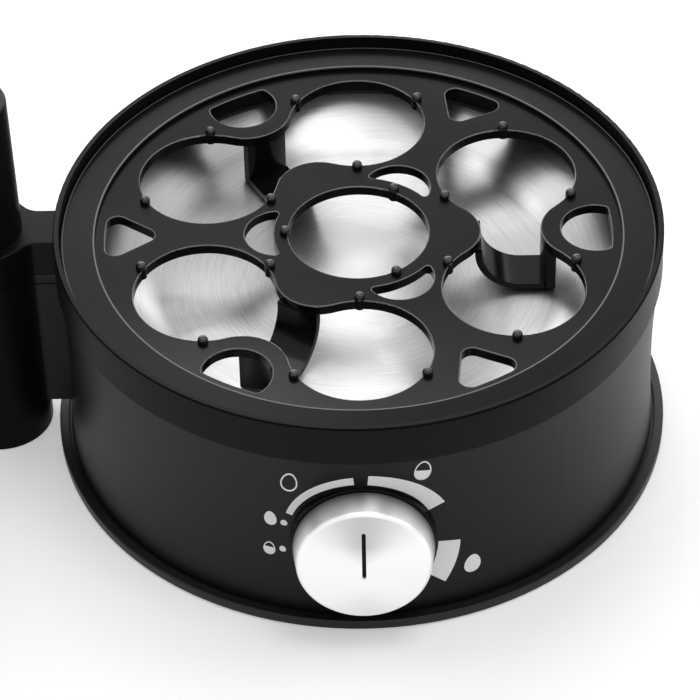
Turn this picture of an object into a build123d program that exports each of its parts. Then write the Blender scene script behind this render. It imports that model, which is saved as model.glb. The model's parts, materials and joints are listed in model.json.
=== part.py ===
from build123d import *
import math
import os

os.makedirs("parts", exist_ok=True)

# Electric egg cooker for seven eggs, in millimetres.
# Z is up and the table is at z = 0. The knob faces -Y, and the lid's post stands on
# the -X side of the drum. The lid is modelled swung open, away from the drum.
# The pieces are drawn about the drum's axis. On export they move along X, so that the
# origin of the files is on the table, under the lid's post.

# Fits
seat_gap = 0.3
assembly_gap = 0.15
running_gap = 0.06
skin_gap = 0.1
overcut = 20.0

# Rim and collar
rim_radius = 92.3
rim_top = 79.3
rim_flare = 0.2
lip_thickness = 1.7
lip_round = 0.5
collar_foot = 65.8
collar_wall = 3.0
collar_shelf = 2.3
throat_inset = 12.8
throat_wall = 2.6
throat_foot = 66.2

# Drum
parting_gap = 0.4
drum_foot = 4.4
drum_foot_inset = 0.4
drum_waist_inset = 1.7
drum_top_inset = 0.7
drum_waist = 32.0
drum_wall = 2.2
shelf_thickness = 2.4
shelf_width = 6.0

# Base pan
plinth_lip = 3.8
plinth_top = 3.8
plinth_foot = 0.4
plinth_break = 0.3
pan_floor = 2.4
groove_width = 1.0
groove_depth = 1.0
upstand_wall = 2.2
upstand_height = 4.0
edge_break = 0.5
floor_vents = 8
floor_vent_ring = 34.0
floor_vent_length = 14.0
floor_vent_width = 3.0

# Egg tray
tray_recess = 3.7
tray_side_gap = 0.7
flange_thickness = 2.0
step_inset = 12.3
step_depth = 1.5
step_wall = 2.0
disc_thickness = 3.2
tray_edge_round = 0.45
well_gap = 1.0
egg_hole_radius = 21.3
egg_ring_radius = 53.1
outer_eggs = 6
arms = 3
inner_nose_tip = 37.2
outer_nose_tip = 55.3
strap_width = 13.5
strap_thickness = 2.0
strap_bend = 14.6
leg_thickness = 2.4
leg_corner = 1.5
crescent_radius = 10.2
crescent_ring = 24.3
crescent_inner = 25.9
crescent_corner = 1.0
dee_radius = 10.5
dee_inset = 4.8
window_land = 3.2
dee_corner = 1.6
triangle_height = 17.3
triangle_overrun = 4.0
triangle_spread = 30.0
triangle_corner = 3.2
stud_radius = 1.6
stud_height = 2.4
stud_offset = 1.0
studs_per_hole = 3

# Heating dish and heater
dish_depth = 9.7
dish_sheet = 0.8
dish_inset = 1.0
dish_crease = 60.5
dish_flange_width = 7.6
dome_radius = 24.0
dome_height = 1.2
seal_thickness = 1.2
seal_width = 4.6
spreader_inset = 2.5
spreader_thickness = 3.0
element_radius = 3.3
element_ring = 50.0
element_gap_angle = 60.0
pin_radius = 1.3
pin_length = 10.0
weld_studs = 3
weld_stud_ring = 34.0
weld_stud_radius = 1.5
nut_flats = 5.5
nut_height = 2.4
thermostat_radius = 8.0
thermostat_height = 7.0
fuse_radius = 2.0
fuse_length = 12.0
fuse_y = -24.0

# Knob and control
knob_z = 33.0
knob_tilt = 5.1
knob_radius = 20.8
knob_face_radius = 19.8
knob_depth = 9.1
knob_shoulder = 6.9
knob_crown = 0.6
knob_wall = 1.6
knob_gap = 0.5
slot_width = 1.2
slot_above = 12.8
slot_below = 4.2
slot_depth = 1.4
bezel_radius = 21.4
bezel_proud = 2.7
bezel_hub_radius = 11.8
bezel_hub_length = 4.0
neck_bush_radius = 4.5
shaft_radius = 3.0
shaft_flat = 0.6
hub_radius = 5.6
control_size = 24.0
control_depth = 12.0
control_inset = 18.6
board_width = 68.0
board_height = 34.0
board_thickness = 1.6
board_drop = 1.2
board_post_x = 28.0
board_post_size = 6.0
board_grip = 5.0
buzzer_radius = 6.0
buzzer_height = 7.0
buzzer_x = 22.0

# Feet, fasteners and mains entry
foot_radius = 6.5
foot_height = 2.0
foot_inset = 14.4
boss_radius = 4.5
boss_inset = 9.9
boss_top = 24.0
boss_angles = (0, 120, 240)
rib_thickness = 2.4
screw_radius = 1.5
screw_head_radius = 3.2
screw_length = 14.0
gland_z = 17.0
gland_radius = 6.0
gland_flange = 8.5
gland_bore = 3.6
gland_flange_thickness = 2.0
gland_bulge = 0.6
block_length = 26.0
block_width = 14.0
block_height = 12.0
block_inset = 26.4
terminal_radius = 2.0

# Lid post
post_reach = 22.2
column_radius = 16.3
column_wall = 3.0
neck_width = 16.0
neck_flare = 6.0
neck_foot = 14.0
column_band = 3.4
column_band_depth = 0.3
cap_drop = 1.1
cap_roof = 3.0
cap_round = 0.8
rod_radius = 4.0
rod_foot = 6.0
guide_height = 6.0
end_play = 0.2
washer_radius = 7.0
washer_thickness = 1.2
screw_head_height = 2.4
bush_radius = 7.0
bush_length = 20.0
bush_flange = 2.0
bush_flange_radius = 9.0
cap_boss_radius = 9.6

# Lid
lid_gap = 0.4
barrel_radius = 12.7
barrel_draft = 0.8
barrel_height = 48.0
counterbore_radius = 8.0
counterbore_depth = 8.0
barrel_cap_thickness = 2.4
lid_arm_foot = 87.0
lid_arm_top = 110.0
lid_overhang = 2.4
lid_rim_height = 5.5
lid_rim_wall = 3.5
hood_inset = 1.4
hood_sheet = 0.6
hood_wall_top = 112.0
hood_shoulder = 20.0
hood_crown = 2.5
vent_radius = 2.0
vent_ring = 44.0
vents = 3
handle_radius = 17.0
handle_neck = 10.0
handle_height = 20.0
handle_side = 8.0
handle_corner = 4.0
handle_screw_radius = 2.4
rivet_radius = 2.0
rivet_head_radius = 3.6
rivet_heights = (93.0, 104.0)
rivet_dome = 1.8
rivet_length = 5.0
rim_slot_floor = 1.9

# Heights and radii that follow from the above
lip_inner = rim_radius - lip_thickness
throat_radius = rim_radius - throat_inset
step_radius = rim_radius - step_inset
window_outer = step_radius - window_land
drum_foot_radius = rim_radius - drum_foot_inset
drum_waist_radius = rim_radius - drum_waist_inset
drum_top_radius = rim_radius - drum_top_inset
plinth_radius = drum_foot_radius + plinth_lip
post_x = -rim_radius - post_reach
flange_top = rim_top - tray_recess
flange_under = flange_top - flange_thickness
disc_top = flange_top - step_depth
disc_under = disc_top - disc_thickness
disc_radius = step_radius + step_wall
tray_radius = lip_inner - tray_side_gap
tray_seat = flange_under - seat_gap
tray_well = disc_radius + well_gap
well_floor = disc_under - 2 * seat_gap
skirt_inner = rim_radius + rim_flare / 2 - collar_wall
shelf_under = tray_seat - collar_shelf
housing_top = collar_foot - parting_gap
drum_bore = drum_waist_radius - drum_wall
foot_ring = drum_bore - foot_inset
boss_ring = drum_bore - boss_inset
block_y = drum_bore - block_inset
spigot_radius = skirt_inner - seat_gap
spigot_top = shelf_under - seat_gap
dish_flange_top = throat_foot - seal_thickness
dish_rest = dish_flange_top - dish_sheet
dish_radius = throat_radius - dish_inset
dish_floor = dish_flange_top - dish_depth
dish_under = dish_floor - dish_sheet
dish_edge = dish_radius + dish_flange_width
spreader_radius = dish_crease - spreader_inset
tray_foot = dish_floor + seat_gap
spreader_under = dish_under - spreader_thickness
element_z = spreader_under - element_radius - skin_gap
floor_top = plinth_foot + pan_floor
pan_bore_fit = drum_bore - seat_gap
cap_top = rim_top - cap_drop
column_bore = column_radius - column_wall
barrel_foot = cap_top + lid_gap
barrel_top = barrel_foot + barrel_height
rod_top = barrel_top - counterbore_depth + end_play
lid_x = 2 * post_x
lid_foot = rim_top + lid_gap
lid_rim_radius = rim_radius + lid_overhang
hood_radius = lid_rim_radius - hood_inset
hood_foot = lid_foot + rim_slot_floor
hood_top = hood_wall_top + hood_shoulder + hood_crown
wall_y = -drum_waist_radius
bezel_face = wall_y - bezel_proud
knob_base = bezel_face - knob_gap
control_back = wall_y + control_inset
knob_lean = math.radians(knob_tilt)
knob_way = Vector(0, -math.cos(knob_lean), math.sin(knob_lean))
front = Plane(
    origin=Vector(0, wall_y, knob_z) + knob_way * wall_y, x_dir=(1, 0, 0), z_dir=knob_way
)
boss_places = [
    (boss_ring * math.cos(math.radians(a)), boss_ring * math.sin(math.radians(a)))
    for a in boss_angles
]


def outline(*points):
    """A closed straight-sided outline in the sketch that is open."""
    with BuildLine() as edge:
        Polyline(*points, close=True)
    make_face(edge.edges())


def half_way_rise(radius, rise):
    """Height, at half its radius, of a shallow spherical dome of this radius and rise."""
    sphere = (radius**2 + rise**2) / (2 * rise)
    return math.sqrt(sphere**2 - radius**2 / 4) - sphere + rise


def drum_section(proud):
    """The solid drum's half section, waisted by one arc, with its wall moved out by proud."""
    with BuildLine() as edge:
        wall = ThreePointArc(
            (drum_foot_radius + proud, drum_foot),
            (drum_waist_radius + proud, drum_waist),
            (drum_top_radius + proud, housing_top),
        )
        Polyline(wall @ 1, (0, housing_top), (0, drum_foot), wall @ 0)
    make_face(edge.edges())


def column_plan(neck_end):
    """Plan of the post's column with its flared neck, running to x = neck_end."""
    with Locations((post_x, 0)):
        Circle(column_radius)
    with Locations(((post_x + neck_end) / 2, 0)):
        Rectangle(neck_end - post_x, neck_width)
    corners = [v for v in vertices() if post_x + 1 < v.X < neck_end - 1]
    fillet(corners, neck_flare)


# Outer casing

with BuildPart() as base_pan:
    with BuildSketch(Plane.XZ):
        outline(
            (0, plinth_foot),
            (plinth_radius - plinth_break, plinth_foot),
            (plinth_radius, plinth_foot + plinth_break),
            (plinth_radius, plinth_top - plinth_break),
            (plinth_radius - plinth_break, plinth_top),
            (drum_foot_radius + groove_width, plinth_top),
            (drum_foot_radius + groove_width, plinth_top - groove_depth),
            (drum_foot_radius - groove_width, plinth_top - groove_depth),
            (drum_foot_radius - groove_width, drum_foot),
            (pan_bore_fit, drum_foot),
            (pan_bore_fit, drum_foot + upstand_height),
            (pan_bore_fit - upstand_wall, drum_foot + upstand_height),
            (pan_bore_fit - upstand_wall, floor_top),
            (0, floor_top),
        )
    revolve(axis=Axis.Z)
    # Posts that hold the foot of the leaning control board in a slot
    board_back = -control_back - board_thickness
    board_foot = (front.offset(board_back) * Pos(0, -board_drop - board_height / 2, 0)).position
    with BuildSketch(Plane.XY.offset(floor_top)):
        with Locations((-board_post_x, board_foot.Y), (board_post_x, board_foot.Y)):
            Rectangle(board_post_size, board_post_size)
    extrude(amount=board_foot.Z + board_grip - floor_top)
    with BuildSketch(front.offset(board_back - skin_gap)):
        with Locations((0, -board_drop)):
            Rectangle(board_width + 2 * skin_gap, board_height + 2 * skin_gap)
    extrude(amount=board_thickness + 2 * skin_gap, mode=Mode.SUBTRACT)
    # Pockets for the rubber feet, and countersunk holes for the housing screws
    with BuildSketch(Plane.XY.offset(plinth_foot)):
        with PolarLocations(foot_ring, 4, start_angle=45):
            Circle(foot_radius + assembly_gap)
    extrude(amount=foot_height - plinth_foot, mode=Mode.SUBTRACT)
    with Locations(Plane.XY.offset(plinth_foot).rotated((180, 0, 0))):
        with Locations(*[(x, -y) for x, y in boss_places]):
            CounterSinkHole(screw_radius + assembly_gap, screw_head_radius, depth=pan_floor)
    # Vent slots under the heater
    with BuildSketch(Plane.XY.offset(plinth_foot)):
        with PolarLocations(floor_vent_ring, floor_vents):
            SlotOverall(floor_vent_length, floor_vent_width, rotation=90)
    extrude(amount=pan_floor, mode=Mode.SUBTRACT)

with BuildPart() as housing_shell:
    with BuildSketch(Plane.XZ):
        drum_section(0)
        outline(
            (0, housing_top - 1),
            (spigot_radius, housing_top - 1),
            (spigot_radius, spigot_top),
            (0, spigot_top),
        )
    revolve(axis=Axis.Z)
    with BuildSketch(Plane.XY.offset(neck_foot)):
        column_plan(-drum_bore)
    extrude(amount=housing_top - column_band - neck_foot)
    # The band below the cover's parting line stands back a little
    with BuildSketch(Plane.XY.offset(housing_top - column_band)):
        column_plan(-drum_bore)
        offset(amount=-column_band_depth)
    extrude(amount=column_band)
    with BuildSketch(Plane.XY.offset(plinth_foot)):
        with Locations((post_x, 0)):
            Circle(column_radius)
    extrude(amount=neck_foot - plinth_foot)
    # Inside of the drum, with the shelf that carries the dish near its top
    shelf_radius = dish_edge + assembly_gap
    with BuildSketch(Plane.XZ):
        outline(
            (0, drum_foot),
            (drum_bore, drum_foot),
            (drum_bore, dish_rest - shelf_thickness - shelf_width),
            (drum_bore - shelf_width, dish_rest - shelf_thickness),
            (drum_bore - shelf_width, dish_rest),
            (shelf_radius, dish_rest),
            (shelf_radius, spigot_top),
            (0, spigot_top),
        )
    revolve(axis=Axis.Z, mode=Mode.SUBTRACT)
    # Bore of the column, and the hollow of its neck
    with BuildSketch(Plane.XY.offset(plinth_foot)):
        with Locations((post_x, 0)):
            Circle(column_bore)
    extrude(amount=housing_top - plinth_foot, mode=Mode.SUBTRACT)
    with BuildSketch(Plane.XY.offset(neck_foot + column_wall)):
        with Locations((post_x / 2 - drum_bore / 2, 0)):
            Rectangle(-post_x - drum_bore, neck_width - 2 * column_wall)
    neck_hollow = housing_top - shelf_width - shelf_thickness - neck_foot - 3 * column_wall
    extrude(amount=neck_hollow, mode=Mode.SUBTRACT)
    # Screw bosses on ribs
    with BuildSketch(Plane.XY.offset(floor_top)):
        with Locations(*boss_places):
            Circle(boss_radius)
    extrude(amount=boss_top - floor_top)
    with BuildSketch(Plane.XY.offset(drum_foot + upstand_height + seat_gap)):
        for angle in boss_angles:
            with PolarLocations((boss_ring + drum_bore + 1) / 2, 1, start_angle=angle):
                Rectangle(drum_bore + 1 - boss_ring, rib_thickness)
    extrude(amount=boss_top - drum_foot - upstand_height - seat_gap)
    with BuildSketch(Plane.XY.offset(floor_top)):
        with Locations(*boss_places):
            Circle(screw_radius + skin_gap)
    extrude(amount=screw_length + 1, mode=Mode.SUBTRACT)
    # Holes for the knob's bezel in front and the mains gland behind
    with BuildSketch(front.offset(drum_bore - overcut / 2)):
        Circle(bezel_hub_radius + assembly_gap)
    extrude(amount=overcut, mode=Mode.SUBTRACT)
    with BuildSketch(Plane.XZ.offset(-drum_bore + overcut / 2)):
        with Locations((0, gland_z)):
            Circle(gland_radius + assembly_gap)
    extrude(amount=-overcut, mode=Mode.SUBTRACT)

with BuildPart() as collar_ring:
    with BuildSketch(Plane.XY.offset(collar_foot)):
        column_plan(-drum_bore)
    extrude(amount=cap_top - collar_foot)
    fillet(edges().group_by(Axis.Z)[-1], cap_round)
    with BuildSketch(Plane.XZ):
        outline(
            (0, collar_foot),
            (rim_radius + rim_flare, collar_foot),
            (rim_radius, rim_top),
            (0, rim_top),
        )
        rim_corner = vertices().sort_by_distance((rim_radius, rim_top))[0]
        fillet(rim_corner, lip_round)
    revolve(axis=Axis.Z)
    with BuildSketch(Plane.XY.offset(collar_foot)):
        with Locations((post_x, 0)):
            Circle(column_bore)
            Circle(cap_boss_radius, mode=Mode.SUBTRACT)
        with Locations((post_x / 2 - skirt_inner / 2, 0)):
            Rectangle(-post_x - skirt_inner - 2 * cap_boss_radius, neck_width - 2 * column_wall)
    extrude(amount=cap_top - cap_roof - collar_foot, mode=Mode.SUBTRACT)
    with BuildSketch(Plane.XZ):
        outline(
            (0, collar_foot),
            (skirt_inner, collar_foot),
            (skirt_inner, shelf_under),
            (tray_well + throat_wall, shelf_under),
            (tray_well + throat_wall, well_floor - collar_shelf),
            (throat_radius + throat_wall, well_floor - collar_shelf),
            (throat_radius + throat_wall, throat_foot),
            (throat_radius, throat_foot),
            (throat_radius, well_floor),
            (tray_well, well_floor),
            (tray_well, tray_seat),
            (lip_inner, tray_seat),
            (lip_inner, rim_top),
            (0, rim_top),
        )
    revolve(axis=Axis.Z, mode=Mode.SUBTRACT)
    # Boss for the rod's bush, reaching down into the column
    with BuildSketch(Plane.XY.offset(cap_top - bush_length + bush_flange)):
        with Locations((post_x, 0)):
            Circle(cap_boss_radius)
    extrude(amount=bush_length - bush_flange - cap_roof)
    with BuildSketch(Plane.XY.offset(cap_top - bush_length + bush_flange)):
        with Locations((post_x, 0)):
            Circle(bush_radius + skin_gap)
    extrude(amount=bush_length, mode=Mode.SUBTRACT)

with BuildPart() as rubber_feet:
    with BuildSketch(Plane.XY):
        with PolarLocations(foot_ring, 4, start_angle=45):
            Circle(foot_radius)
        with Locations((post_x, 0)):
            Circle(foot_radius)
    extrude(amount=foot_height)
    chamfer(edges().group_by(Axis.Z)[0], edge_break)

with BuildPart() as housing_screws:
    for x, y in boss_places:
        with BuildSketch(Plane(origin=(x, y, 0), x_dir=(1, 0, 0), z_dir=(0, -1, 0))):
            outline(
                (0, plinth_foot + skin_gap),
                (screw_head_radius - skin_gap, plinth_foot + skin_gap),
                (screw_radius, plinth_foot + skin_gap + screw_head_radius - screw_radius),
                (screw_radius, floor_top + screw_length - screw_radius),
                (0, floor_top + screw_length),
            )
        revolve(axis=Axis((x, y, 0), (0, 0, 1)))

# Egg tray: a pierced disc with a lift-off flange, three strap legs and small studs

with BuildSketch() as dee_hole:
    with Locations((window_outer - dee_inset, 0)):
        Circle(dee_radius)
    Circle(window_outer, mode=Mode.INTERSECT)
    fillet(vertices(), dee_corner)

with BuildSketch() as triangle_hole:
    outline(
        (window_outer - triangle_height, 0),
        (window_outer + triangle_overrun, triangle_spread / 2),
        (window_outer + triangle_overrun, -triangle_spread / 2),
    )
    Circle(window_outer, mode=Mode.INTERSECT)
    fillet(vertices(), triangle_corner)

with BuildSketch() as crescent_hole:
    with Locations((crescent_ring, 0)):
        Circle(crescent_radius)
    Circle(crescent_inner, mode=Mode.SUBTRACT)
    fillet(vertices(), crescent_corner)

arm_step = 360 / arms
half_pitch = 180 / outer_eggs
pair_x = egg_ring_radius * math.cos(math.radians(half_pitch))
pair_y = egg_ring_radius * math.sin(math.radians(half_pitch))
egg_places = [(0.0, 0.0)] + [
    (
        egg_ring_radius * math.cos(math.radians((2 * i + 1) * half_pitch)),
        egg_ring_radius * math.sin(math.radians((2 * i + 1) * half_pitch)),
    )
    for i in range(outer_eggs)
]


def nose(tip):
    """Radius and centre of the nose that ends at tip and is tangent to both holes of a pair."""
    reach = abs(tip - pair_x)
    radius = (pair_y**2 + reach**2 - egg_hole_radius**2) / (2 * (egg_hole_radius - reach))
    centre = tip + math.copysign(radius, tip - pair_x)
    return radius, centre


def touch(tip):
    """Where the nose that ends at tip runs into the upper hole of its pair."""
    radius, centre = nose(tip)
    share = radius / (radius + egg_hole_radius)
    return centre + (pair_x - centre) * share, pair_y * share


outer_nose_radius, outer_nose = nose(outer_nose_tip)
inner_x, inner_y = touch(inner_nose_tip)
outer_x, outer_y = touch(outer_nose_tip)
with BuildSketch() as pair_hole:
    with BuildLine():
        ThreePointArc((inner_x, inner_y), (pair_x, pair_y + egg_hole_radius), (outer_x, outer_y))
        ThreePointArc((outer_x, outer_y), (outer_nose_tip, 0), (outer_x, -outer_y))
        ThreePointArc((outer_x, -outer_y), (pair_x, -pair_y - egg_hole_radius), (inner_x, -inner_y))
        ThreePointArc((inner_x, -inner_y), (inner_nose_tip, 0), (inner_x, inner_y))
    make_face()

stud_ring = egg_hole_radius + stud_offset


def stud_places():
    """Three studs round each hole, one of them on the side of the tray's middle."""
    places = []
    for x, y in egg_places:
        for j in range(studs_per_hole):
            turn = math.atan2(-y, -x) + j * 2 * math.pi / studs_per_hole
            places.append((x + stud_ring * math.cos(turn), y + stud_ring * math.sin(turn)))
    return places


with BuildPart() as egg_tray:
    # The pierced disc
    with BuildSketch(Plane.XY.offset(disc_under)):
        Circle(step_radius + step_wall / 2)
        Circle(egg_hole_radius, mode=Mode.SUBTRACT)
        with PolarLocations(0, arms):
            add(pair_hole.sketch, mode=Mode.SUBTRACT)
            add(dee_hole.sketch, mode=Mode.SUBTRACT)
        with PolarLocations(0, arms, start_angle=arm_step / 2):
            add(triangle_hole.sketch, mode=Mode.SUBTRACT)
            add(crescent_hole.sketch, mode=Mode.SUBTRACT)
    extrude(amount=disc_thickness)
    for hole in faces().sort_by(Axis.Z)[-1].inner_wires():
        fillet(hole.edges(), tray_edge_round)
    # The flange that rests in the collar
    with BuildSketch(Plane.XZ):
        outline(
            (step_radius, disc_under),
            (disc_radius, disc_under),
            (disc_radius, flange_under),
            (tray_radius, flange_under),
            (tray_radius, flange_top),
            (step_radius, flange_top),
        )
        fillet(vertices().filter_by(lambda v: v.Z > flange_top - 0.01), tray_edge_round)
    revolve(axis=Axis.Z)
    # Strap legs: a bent strap from the inner nose and a curved plate under the outer nose
    for i in range(arms):
        turn = i * arm_step
        radial = Plane.XZ.rotated((0, 0, turn))
        bend_x = inner_nose_tip - strap_thickness + strap_bend
        bend_z = tray_foot + strap_bend
        with BuildSketch(radial):
            with BuildLine():
                lower = CenterArc((bend_x, bend_z), strap_bend, 180, 90)
                Line(lower @ 1, (outer_nose_tip + leg_thickness / 2, tray_foot))
                Line(
                    (outer_nose_tip + leg_thickness / 2, tray_foot),
                    (outer_nose_tip + leg_thickness / 2, tray_foot + strap_thickness),
                )
                upper = CenterArc((bend_x, bend_z), strap_bend - strap_thickness, 180, 90)
                Line(
                    (outer_nose_tip + leg_thickness / 2, tray_foot + strap_thickness),
                    upper @ 1,
                )
                Line(upper @ 0, (inner_nose_tip, disc_under + 1))
                Line((inner_nose_tip, disc_under + 1), (inner_nose_tip - strap_thickness, disc_under + 1))
                Line((inner_nose_tip - strap_thickness, disc_under + 1), lower @ 0)
            make_face()
        extrude(amount=strap_width / 2, both=True)
        with BuildSketch(Plane.XY.offset(tray_foot).rotated((0, 0, turn))):
            with Locations((outer_nose, 0)):
                Circle(outer_nose_radius)
                Circle(outer_nose_radius - leg_thickness, mode=Mode.SUBTRACT)
            with Locations((outer_nose_tip, 0)):
                Rectangle(leg_thickness * 4, strap_width, mode=Mode.INTERSECT)
        extrude(amount=disc_under + 1 - tray_foot)
    # Studs that keep the eggs from slipping
    for x, y in stud_places():
        with BuildSketch(Plane(origin=(x, y, disc_under), x_dir=(1, 0, 0), z_dir=(0, -1, 0))):
            with BuildLine():
                dome_foot = disc_thickness + stud_height - stud_radius
                dome = CenterArc((0, dome_foot), stud_radius, 0, 90)
                Polyline(dome @ 1, (0, 0), (stud_radius, 0), dome @ 0)
            make_face()
        revolve(axis=Axis((x, y, 0), (0, 0, 1)))

# Heating dish, its seal, and the heater below it

with BuildPart() as heating_dish:
    slope = math.atan2(dish_depth, dish_radius - dish_crease)
    under_shift = dish_sheet * math.tan(slope / 2)
    middle = half_way_rise(dome_radius, dome_height)
    with BuildSketch(Plane.XZ):
        with BuildLine():
            ThreePointArc(
                (0, dish_floor + dome_height),
                (dome_radius / 2, dish_floor + middle),
                (dome_radius, dish_floor),
            )
            Polyline(
                (dome_radius, dish_floor),
                (dish_crease, dish_floor),
                (dish_radius, dish_flange_top),
                (dish_edge, dish_flange_top),
                (dish_edge, dish_rest),
                (dish_radius + under_shift, dish_rest),
                (dish_crease + under_shift, dish_under),
                (dome_radius, dish_under),
            )
            ThreePointArc(
                (dome_radius, dish_under),
                (dome_radius / 2, dish_under + middle),
                (0, dish_under + dome_height),
            )
            Line((0, dish_under + dome_height), (0, dish_floor + dome_height))
        make_face()
    revolve(axis=Axis.Z)
    with BuildSketch(Plane.XY.offset(spreader_under - nut_height - 2)):
        with PolarLocations(weld_stud_ring, weld_studs, start_angle=30):
            Circle(weld_stud_radius)
    extrude(amount=spreader_thickness + nut_height + 2.2)

with BuildPart() as dish_seal:
    with BuildSketch(Plane.XY.offset(dish_flange_top)):
        Circle(throat_radius + seal_width)
        Circle(throat_radius, mode=Mode.SUBTRACT)
    extrude(amount=seal_thickness)

with BuildPart() as heat_spreader:
    with BuildSketch(Plane.XY.offset(spreader_under)):
        Circle(spreader_radius)
        with PolarLocations(weld_stud_ring, weld_studs, start_angle=30):
            Circle(weld_stud_radius + assembly_gap, mode=Mode.SUBTRACT)
    extrude(amount=spreader_thickness)

with BuildPart() as heater_nuts:
    with BuildSketch(Plane.XY.offset(spreader_under - nut_height)):
        with PolarLocations(weld_stud_ring, weld_studs, start_angle=30):
            RegularPolygon(nut_flats / 2, 6, major_radius=False)
            Circle(weld_stud_radius + running_gap, mode=Mode.SUBTRACT)
    extrude(amount=nut_height)

with BuildPart() as heating_element:
    with BuildLine(Plane.XY.offset(element_z)) as ring:
        CenterArc((0, 0), element_ring, 90 + element_gap_angle / 2, 360 - element_gap_angle)
    with BuildSketch(Plane(origin=ring.line @ 0, z_dir=ring.line % 0)):
        Circle(element_radius)
    sweep()

with BuildPart() as element_pins:
    for end, way in ((ring.line @ 0, -(ring.line % 0)), (ring.line @ 1, ring.line % 1)):
        with BuildSketch(Plane(origin=end, z_dir=way)):
            Circle(pin_radius)
        extrude(amount=pin_length)

with BuildPart() as thermostat:
    with BuildSketch(Plane.XY.offset(spreader_under)):
        Circle(thermostat_radius)
    extrude(amount=-thermostat_height)
    with BuildSketch(Plane.XY.offset(spreader_under)):
        SlotOverall(thermostat_radius * 3.4, thermostat_radius * 0.8)
    extrude(amount=-1.0)
    with BuildSketch(Plane.XY.offset(spreader_under - thermostat_height)):
        with GridLocations(thermostat_radius, 1, 2, 1):
            Rectangle(0.8, 6.3)
    extrude(amount=-7.0)

with BuildPart() as thermal_fuse:
    with BuildSketch(Plane.YZ.offset(-fuse_length / 2)):
        with Locations((fuse_y, spreader_under - fuse_radius - skin_gap)):
            Circle(fuse_radius)
    extrude(amount=fuse_length)

# Knob, its bezel, and the control behind the wall

with BuildSketch(Plane.XZ) as drum_skin_section:
    drum_section(skin_gap)
with BuildPart() as drum_skin:
    add(drum_skin_section.sketch)
    revolve(axis=Axis.Z)

with BuildPart() as knob_bezel:
    with BuildSketch(front.offset(drum_bore - overcut / 2)):
        Circle(bezel_radius)
    extrude(amount=-bezel_face - drum_bore + overcut / 2)
    chamfer(edges().group_by(Axis.Y)[0], edge_break)
    add(drum_skin.part, mode=Mode.SUBTRACT)
    with BuildSketch(front.offset(drum_bore - bezel_hub_length)):
        Circle(bezel_hub_radius)
    extrude(amount=-bezel_face - edge_break - drum_bore + bezel_hub_length)
    with BuildSketch(front.offset(drum_bore - overcut / 2)):
        Circle(neck_bush_radius + assembly_gap)
    extrude(amount=overcut, mode=Mode.SUBTRACT)

knob_middle = front.origin - knob_way * knob_base
knob_section = Plane(
    origin=knob_middle, x_dir=(1, 0, 0), z_dir=Vector(1, 0, 0).cross(knob_way)
)
knob_axis = Axis(knob_middle, knob_way)
slot_centre = (slot_above - slot_below) / 2

with BuildPart() as knob:
    with BuildSketch(knob_section):
        with BuildLine():
            round_over = knob_depth - knob_crown - knob_shoulder
            face_radius = knob_face_radius - round_over
            side = Line((knob_radius, 0), (knob_face_radius, knob_shoulder))
            edge = CenterArc((face_radius, knob_shoulder), round_over, 0, 90)
            face = ThreePointArc(
                edge @ 1,
                (face_radius / 2, knob_depth - knob_crown + half_way_rise(face_radius, knob_crown)),
                (0, knob_depth),
            )
            Polyline(face @ 1, (0, 0), (knob_radius, 0))
        make_face()
    revolve(axis=knob_axis)
    # Hollow back with a hub for the shaft
    with BuildSketch(front.offset(-knob_base)):
        Circle(knob_radius - 2 * knob_wall)
        Circle(hub_radius, mode=Mode.SUBTRACT)
    extrude(amount=knob_shoulder, mode=Mode.SUBTRACT)
    with BuildSketch(front.offset(-knob_base)):
        Circle(shaft_radius + running_gap)
        with Locations((0, -shaft_radius + shaft_flat / 2)):
            Rectangle(2 * shaft_radius, shaft_flat, mode=Mode.SUBTRACT)
    extrude(amount=knob_shoulder, mode=Mode.SUBTRACT)
    # Slot for the pointer
    with BuildSketch(front.offset(-knob_base + knob_depth - slot_depth)):
        with Locations((0, slot_centre)):
            SlotOverall(slot_above + slot_below, slot_width, rotation=90)
    extrude(amount=slot_depth + 1, mode=Mode.SUBTRACT)

with BuildPart() as knob_pointer:
    with BuildSketch(front.offset(-knob_base + knob_depth - slot_depth)):
        with Locations((0, slot_centre)):
            SlotOverall(slot_above + slot_below, slot_width, rotation=90)
    extrude(amount=slot_depth / 2)

with BuildPart() as control_shaft:
    with BuildSketch(front.offset(-control_back + control_depth / 2)):
        Circle(shaft_radius)
    extrude(amount=-knob_base + knob_shoulder - 0.5 + control_back - control_depth / 2)
    with BuildSketch(front.offset(-knob_base - 1)):
        with Locations((0, -shaft_radius + shaft_flat / 2)):
            Rectangle(2 * shaft_radius, shaft_flat + 2 * running_gap)
    extrude(amount=knob_shoulder + 1, mode=Mode.SUBTRACT)

with BuildPart() as rotary_control:
    with BuildSketch(front.offset(-control_back)):
        Rectangle(control_size, control_size)
    extrude(amount=control_depth)
    with BuildSketch(front.offset(-control_back + control_depth)):
        Circle(neck_bush_radius)
    extrude(amount=-bezel_face + control_back - control_depth - edge_break)
    with BuildSketch(front.offset(-control_back + control_depth / 2 - 0.5)):
        Circle(shaft_radius + running_gap)
    extrude(amount=control_depth + overcut, mode=Mode.SUBTRACT)

with BuildPart() as control_board:
    with BuildSketch(front.offset(board_back)):
        with Locations((0, -board_drop)):
            Rectangle(board_width, board_height)
    extrude(amount=board_thickness)

with BuildPart() as buzzer:
    with BuildSketch(front.offset(board_back)):
        with Locations((buzzer_x, 0)):
            Circle(buzzer_radius)
            Circle(buzzer_radius / 6, mode=Mode.SUBTRACT)
    extrude(amount=-buzzer_height)

# Mains entry

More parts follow.
